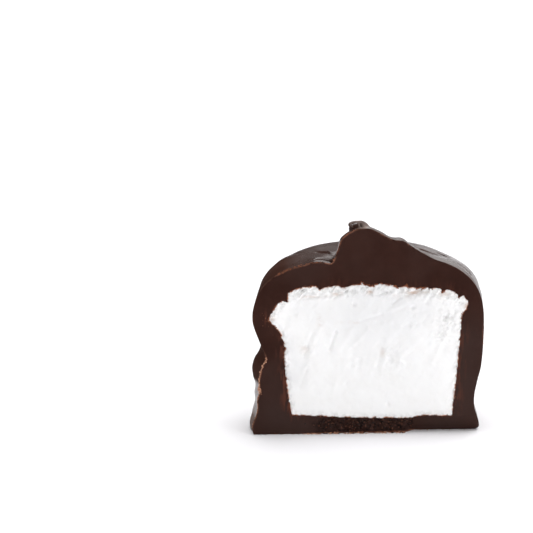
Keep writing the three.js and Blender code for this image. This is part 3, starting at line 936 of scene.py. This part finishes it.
# Crumbs along the cut face's rim: two points (x, z) at the ends of the trail, how many, spread, smallest and
# largest size, the share of light ones and their tone, from 0.4 for orange brown to 1 for tan.
RIM_CRUMBS = [
    ((-14.2, 10.8), (-15.2, 5.6), 150, 0.05, 0.07, 0.18, 0.9, 1),
    ((-15.2, 5.6), (-16, 0.8), 140, 0.03, 0.06, 0.13, 0.85, 0.8),
    ((-15.2, 6.6), (-15.2, 5.6), 40, 0.12, 0.12, 0.28, 0.9, 0.95),
    ((-14.2, 11), (-14.4, 10.2), 14, 0.08, 0.1, 0.22, 0.9, 1),
    ((-12.6, 22.7), (-9.2, 24.2), 130, 0.09, 0.07, 0.2, 0.7, 0.38),
    ((-9.2, 24.2), (-6.8, 24.7), 50, 0.06, 0.07, 0.16, 0.7, 0.38),
    ((-5, 24.5), (-4.1, 27), 50, 0.04, 0.06, 0.14, 0.7, 0.32),
    ((-4.1, 27), (-1.6, 29), 40, 0.04, 0.06, 0.12, 0.7, 0.6),
    ((-15.9, 0.4), (-9, 0), 20, 0.05, 0.07, 0.15, 0.7, 0.7),
    ((-9, 0), (5.4, 0), 230, 0.08, 0.1, 0.28, 0.7, 0.95),
    ((6, 0.5), (15.4, 0.3), 16, 0.05, 0.06, 0.14, 0.7, 0.7),
    ((16.2, 15), (16.2, 12.5), 10, 0.05, 0.06, 0.14, 0.8, 0.8),
]
# The same along free paths on the face, from one point to another.
FACE_CRUMBS = [
    ((-7.6, 1), (6.3, 1), 320, 0.45, 0.1, 0.3, 0.4, 0.2),
    ((-14.6, 17.2), (-13.8, 14), 10, 0.3, 0.05, 0.12, 0.8, 0.7),
    ((-4.85, 24.8), (-4.7, 25), 5, 0.05, 0.12, 0.22, 1, 0.65),
]
# The same along the marshmallow's outline.
CORE_CRUMBS = [
    ((-1.5, 21.3), (1.9, 21.3), 90, 0.07, 0.08, 0.22, 0.95, 0.5),
    ((3.6, 21), (4.2, 20.9), 24, 0.08, 0.1, 0.24, 1, 0.5),
    ((5, 20.8), (5.5, 20.8), 22, 0.1, 0.1, 0.26, 1, 0.55),
    ((6.6, 20.7), (8.2, 20.5), 60, 0.08, 0.08, 0.24, 0.95, 0.5),
    ((10.2, 20.2), (11, 19.9), 30, 0.07, 0.08, 0.2, 0.95, 0.5),
    ((13.8, 18), (13.3, 16), 36, 0.06, 0.07, 0.18, 0.95, 0.5),
    ((-13.8, 16.6), (-12.8, 15.2), 40, 0.06, 0.07, 0.18, 0.95, 0.5),
    ((-12, 13), (-11.5, 10.6), 50, 0.07, 0.08, 0.2, 0.8, 0.45),
]
EDGE_CRUMBS = (520, 0.08, 0.06, 0.17, 0.65, 0.45)  # the same numbers, all round that outline
FLOOR_CRUMB_REACH = 0.35  # how far in front of the cut the ones on the floor lie
CRUMB_FLAT = 0.7  # thickness of a crumb as a share of its size
CRUMB_SINK = 0.2  # and the share of it that is sunk in the face


def rim_path(rim, start, end):
    """The shorter way along a closed outline between the points nearest to start and end."""
    _, (first, last) = nearest(np.array([start, end]), rim)
    ahead = (last - first) % len(rim)
    steps = np.arange(ahead + 1) if 2 * ahead < len(rim) else -np.arange(len(rim) - ahead + 1)
    return rim[(first + steps) % len(rim)]


def make_crumbs(rim, outline, materials):
    pattern = bmesh.new()
    bmesh.ops.create_icosphere(pattern, subdivisions=1, radius=0.5)
    ball, ball_faces = taken_from(pattern)
    draw = np.random.default_rng(61)
    points, faces, tones = [], [], []
    trails = [(rim_path(rim, start, end), *numbers) for start, end, *numbers in RIM_CRUMBS]
    trails += [(rim_path(outline, start, end), *numbers) for start, end, *numbers in CORE_CRUMBS]
    trails += [(np.array([start, end]), *numbers) for start, end, *numbers in FACE_CRUMBS]
    trails += [(closed(outline), *EDGE_CRUMBS)]
    for path, count, spread, smallest, largest, light, tone in trails:
        at = draw.uniform(0, 1, count) * lengths(path)[-1]
        places = along_path(path, at) + draw.normal(0, spread, (count, 2))
        sizes = smallest + (largest - smallest) * draw.uniform(0, 1, count) ** 2
        for (x, z), size in zip(places, sizes):
            shape = ball * draw.uniform(0.5, 1.3, 3) * (1 + draw.uniform(-0.25, 0.25, (len(ball), 1)))
            turn = np.linalg.qr(draw.normal(0, 1, (3, 3)))[0]
            shape = shape @ turn * size
            shape[:, 1] = shape[:, 1] * CRUMB_FLAT - size * (CRUMB_FLAT / 2 - CRUMB_SINK)
            low = max(z, size * 0.4 + FLOOR)
            shape += (x, -draw.uniform(0, FLOOR_CRUMB_REACH) * (low < FLOOR + 0.15), low)
            faces.append(np.array(ball_faces) + len(ball) * len(points))
            points.append(shape)
            own_tone = tone * draw.uniform(0.7, 1) if draw.uniform() < light else draw.uniform(0, 0.1)
            tones.append(np.full(len(ball), own_tone))
    point = set_back(np.concatenate(points))
    faces = np.concatenate(faces).tolist()
    return new_object("crumbs", place(point), faces, materials, tone=np.concatenate(tones))


# ---- Materials ----


class Graph:
    """Short calls for nodes. Inputs are sockets to link, names of the mesh's attributes or values to set."""

    def __init__(self, owner, colour=None):
        self.owner = owner
        owner.use_nodes = True
        self.tree = owner.node_tree
        self.colour = colour

    def node(self, kind, inputs=None, **settings):
        made = self.tree.nodes.new(kind)
        for name, value in settings.items():
            setattr(made, name, value)
        self.feed(made, inputs or {})
        return made

    def feed(self, node, inputs):
        for name, value in inputs.items():
            if isinstance(value, str):
                value = self.node("ShaderNodeAttribute", attribute_name=value).outputs["Fac"]
            if isinstance(value, bpy.types.NodeSocket):
                self.tree.links.new(value, node.inputs[name])
            else:
                node.inputs[name].default_value = value

    def noise(self, scale, detail, roughness=0.5, stretch=None):
        """Noise with features about 1 / scale metres wide."""
        place_in = self.node("ShaderNodeTexCoord").outputs["Object"]
        if stretch:
            place_in = self.node("ShaderNodeMapping", {"Vector": place_in, "Scale": stretch}).outputs[0]
        inputs = {"Vector": place_in, "Scale": scale, "Detail": detail, "Roughness": roughness}
        return self.node("ShaderNodeTexNoise", inputs).outputs["Fac"]

    def patches(self, scale, detail, low, high, roughness=0.5, stretch=None):
        """Noise turned into patches: 0 where it is below low, 1 where it is above high."""
        return self.ramp(self.noise(scale, detail, roughness, stretch), low, high)

    def ramp(self, value, low, high, out_low=0.0, out_high=1.0):
        inputs = {"Value": value, "From Min": low, "From Max": high, "To Min": out_low, "To Max": out_high}
        return self.node("ShaderNodeMapRange", inputs, interpolation_type="SMOOTHSTEP").outputs[0]

    def math(self, operation, a, b):
        return self.node("ShaderNodeMath", {0: a, 1: b}, operation=operation).outputs[0]

    def times(self, *values):
        return functools.reduce(lambda a, b: self.math("MULTIPLY", a, b), values)

    def layer(self, colour, *shares):
        """Lays a colour over the ones before it, by the product of the shares."""
        inputs = {0: self.times(*shares), 6: self.colour, 7: (*colour, 1)}
        self.colour = self.node("ShaderNodeMix", inputs, data_type="RGBA").outputs[2]

    def finish(self, roughness, specular, *bumps, **inputs):
        """Links what was made to the shader. Each bump is its noise's numbers, its distance and strength."""
        for numbers, distance, strength in bumps:
            bump = {"Height": self.noise(*numbers), "Distance": distance, "Strength": strength}
            if "Normal" in inputs:
                bump["Normal"] = inputs["Normal"]
            inputs["Normal"] = self.node("ShaderNodeBump", bump).outputs[0]
        inputs |= {"Base Color": self.colour, "Roughness": roughness, "Specular IOR Level": specular}
        self.feed(self.tree.nodes["Principled BSDF"], inputs)
        return self.owner


def new_material(name, *colour):
    return Graph(bpy.data.materials.new(name), (*colour, 1))


def add_dust(graph):
    """Orange-brown dust along chipped rims."""
    edge = graph.ramp("rim_mm", 0.28, 0.05)
    graph.layer((0.28, 0.125, 0.08), edge, "dust", graph.patches(2200, 3, 0.35, 0.6, 0.6))


def glossy_chocolate():
    graph = new_material("chocolate_skin", 0.036, 0.014, 0.0092)
    graph.layer((0.047, 0.0195, 0.0135), graph.patches(140, 3, 0.35, 0.65))
    graph.layer((0.055, 0.03, 0.024), graph.patches(420, 4, 0.45, 0.75, 0.6), 0.25)
    # Painted highlight and reflection: lighter, uneven skin on the loop's band and the left foot.
    uneven = graph.ramp(graph.noise(1300, 3), 0.3, 0.6, 0.6, 1)
    graph.layer((0.26, 0.2, 0.175), "pale", uneven)
    add_dust(graph)
    shine = graph.ramp(graph.noise(260, 3), 0.3, 0.7, 0.2, 0.36)
    roughness = graph.math("MAXIMUM", shine, graph.ramp("matte", 0.6, 1, 0.2, 0.75))
    specular = graph.ramp("matte", 0, 1, 0.36, 0.02)
    return graph.finish(roughness, specular, ((900, 3), 0.00003, 0.5), ((250, 2), 0.00012, 0.5))


def cut_chocolate():
    graph = new_material("chocolate_cut", 0.0262, 0.0076, 0.0044)
    graph.layer((0.0352, 0.0118, 0.0077), graph.patches(220, 4, 0.35, 0.65))
    graph.layer((0.0375, 0.0165, 0.0125), graph.patches(75, 3, 0.42, 0.62), 0.7)
    # Lighter, greyer brown: partly the chocolate's own tone, partly painted light on parts that face away from
    # the lamps.
    graph.layer((0.04, 0.0215, 0.018), "grey", 0.8)
    streaks = graph.patches(2400, 3, 0.45, 0.64, 0.6, (1, 1, 0.2))
    graph.layer((0.095, 0.03, 0.018), graph.ramp("core_mm", 1.7, 0.2), streaks, "smear")
    line = graph.ramp("core_mm", 0.16, 0.03)
    graph.layer((0.16, 0.05, 0.026), line, graph.patches(1500, 2, 0.42, 0.58), 0.75)
    graph.layer((0.008, 0.0035, 0.0032), "strip", graph.patches(1700, 4, 0.44, 0.64, 0.7))
    graph.layer((0.062, 0.029, 0.023), "strip", graph.patches(1400, 3, 0.52, 0.7, 0.7))
    # Painted highlight: a thin lighter line along the rim, where its bevel would catch the light.
    line = graph.ramp("rim_mm", 0.14, 0.02)
    graph.layer((0.1, 0.048, 0.033), line, graph.patches(420, 2, 0.4, 0.6), 0.6)
    add_dust(graph)
    roughness = graph.ramp(graph.noise(700, 3), 0.3, 0.7, 0.42, 0.6)
    return graph.finish(roughness, 0.08, ((3800, 3), 0.00002, 0.5), ((1100, 3), 0.00006, 0.5))


def marshmallow_foam():
    graph = new_material("marshmallow_foam", 0.948, 0.946, 0.941)
    graph.layer((0.9, 0.892, 0.876), graph.patches(500, 4, 0.4, 0.7), 0.35)
    # Painted shade: greyer where the face turns from the light and towards its top.
    graph.layer((0.845, 0.845, 0.848), "grey")
    # Painted shade: darker patches in the torn band, for the hollows between its fibres.
    graph.layer((0.68, 0.675, 0.67), "torn", graph.patches(1500, 4, 0.42, 0.66, 0.65), 0.8)
    specks = graph.patches(900, 4, 0.4, 0.62, 0.65, (0.5, 1, 1))
    graph.layer((0.5, 0.33, 0.23), "stain", specks, 0.8)
    edge = graph.ramp("edge_mm", 0.2, 0.0)
    graph.layer((0.42, 0.16, 0.075), edge, graph.patches(1300, 3, 0.42, 0.6))
    inside = {"Subsurface Weight": 0.2, "Subsurface Scale": 0.0002, "Subsurface Radius": (1, 0.95, 0.9)}
    return graph.finish(0.9, 0.2, ((5000, 3), 0.00004, 0.6), ((1300, 4, 0.6), 0.00012, 0.6), **inside)


def crumb_chocolate():
    graph = new_material("chocolate_crumbs", 0.014, 0.006, 0.0048)
    graph.layer((0.25, 0.085, 0.04), graph.ramp("tone", 0, 0.5))
    graph.layer((0.62, 0.34, 0.22), graph.ramp("tone", 0.5, 1))
    return graph.finish(0.6, 0.2, ((4000, 2), 0.00003, 0.5))


def white_floor():
    return new_material("white_floor", 0.94, 0.932, 0.952).finish(0.8, 0.1)


# ---- Stage ----


def make_floor():
    point = np.array([(-4, -4, 0), (4, -4, 0), (4, 4, 0), (-4, 4, 0)], float)
    floor = new_object("floor", point, [[0, 1, 2, 3]], [white_floor()])


DARK_SIDE = (-0.45, 0.88, 0.15)
LIGHT_TARGET = Vector((0, 0, 0.012))


def area_light(name, at, size, watts):
    light = bpy.data.lights.new(name, "AREA")
    light.shape = "RECTANGLE"
    light.size, light.size_y = size
    light.energy = watts
    lamp = add_object(name, light)
    lamp.location = at
    lamp.rotation_euler = (LIGHT_TARGET - Vector(at)).to_track_quat("-Z", "Y").to_euler()


def make_lights():
    world = bpy.data.worlds.new("studio")
    bpy.context.scene.world = world
    graph = Graph(world)
    # A dark card stands to the left and behind: directions near DARK_SIDE get less light.
    direction = graph.node("ShaderNodeTexCoord").outputs["Generated"]
    facing = graph.node("ShaderNodeVectorMath", {0: direction, 1: DARK_SIDE}, operation="DOT_PRODUCT")
    limits = {"From Min": 0.8, "From Max": 0.93, "To Min": 0.38, "To Max": 0.05}
    strength = graph.node("ShaderNodeMapRange", {"Value": facing.outputs["Value"]} | limits).outputs[0]
    graph.feed(graph.tree.nodes["Background"], {"Color": (1, 1, 1, 1), "Strength": strength})
    area_light("overhead", (0.2, 0.35, 1.05), (1.5, 1.7), 20)
    area_light("front", (0.1, -0.55, 0.2), (0.7, 0.3), 0.7)
    area_light("side", (0.45, -0.45, 0.2), (0.3, 0.3), 0.6)
    area_light("back", (0.55, 0.85, 0.3), (0.8, 0.4), 1)


CAMERA_PLACE = (-37.12, -411.22, 117.38)  # in millimetres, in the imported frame
CAMERA_TILT = math.radians(77)
CAMERA_TURN = math.radians(-3.2)
CAMERA_LENS = 201.2


def make_camera():
    data = bpy.data.cameras.new("camera")
    data.lens = CAMERA_LENS
    camera = add_object("camera", data)
    camera.location = np.array(CAMERA_PLACE) * MM
    camera.rotation_euler = (CAMERA_TILT, 0, CAMERA_TURN)
    bpy.context.scene.camera = camera
    bpy.context.scene.view_settings.view_transform = "Standard"


make_camera()
filling_edge = filling_outline()
coating, coating_edge = make_coating(filling_edge, [glossy_chocolate(), cut_chocolate()])
filling = make_filling(filling_edge, [marshmallow_foam()])
crumbs = make_crumbs(coating_edge, filling_edge, [crumb_chocolate()])
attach(crumbs, "root")
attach(coating, "root")
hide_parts("chocolate_coating")
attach(filling, "root")
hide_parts("marshmallow")
make_floor()
make_lights()
